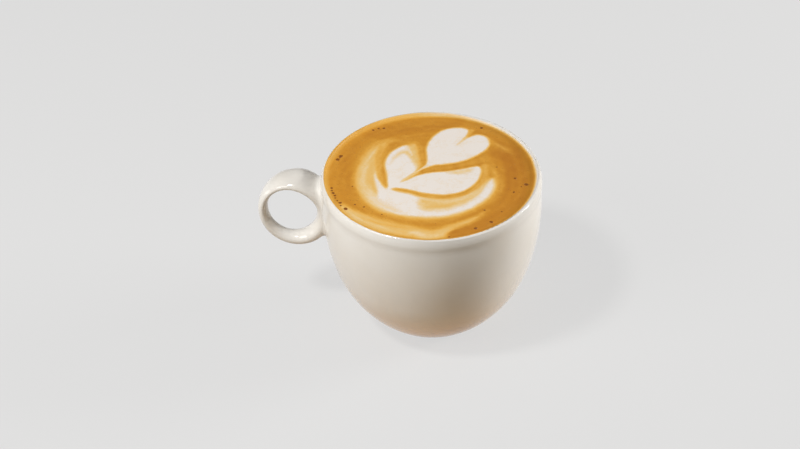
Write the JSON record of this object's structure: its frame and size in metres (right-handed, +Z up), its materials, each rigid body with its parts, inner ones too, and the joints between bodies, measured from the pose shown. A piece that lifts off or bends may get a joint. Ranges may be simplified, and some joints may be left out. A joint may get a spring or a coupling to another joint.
{
  "type": "flat white in a cup",
  "caption": "Round white porcelain cup with a rolled lip and a closed ring handle, filled almost to the brim with a flat white with poured milk art.",
  "frame": {"origin": "centre of the foot ring's running face, on the bowl's axis", "axes": "+Z up along the bowl's axis; the ring handle points along -X"},
  "size_m": [0.1088, 0.084, 0.065],
  "materials": {
    "glazed_porcelain": "clear gloss glaze over white porcelain",
    "coffee": "satin crema with a milk foam pattern"
  },
  "bodies": {
    "root": {"cup": "glazed_porcelain", "coffee": "coffee"}
  },
  "joints": []
}
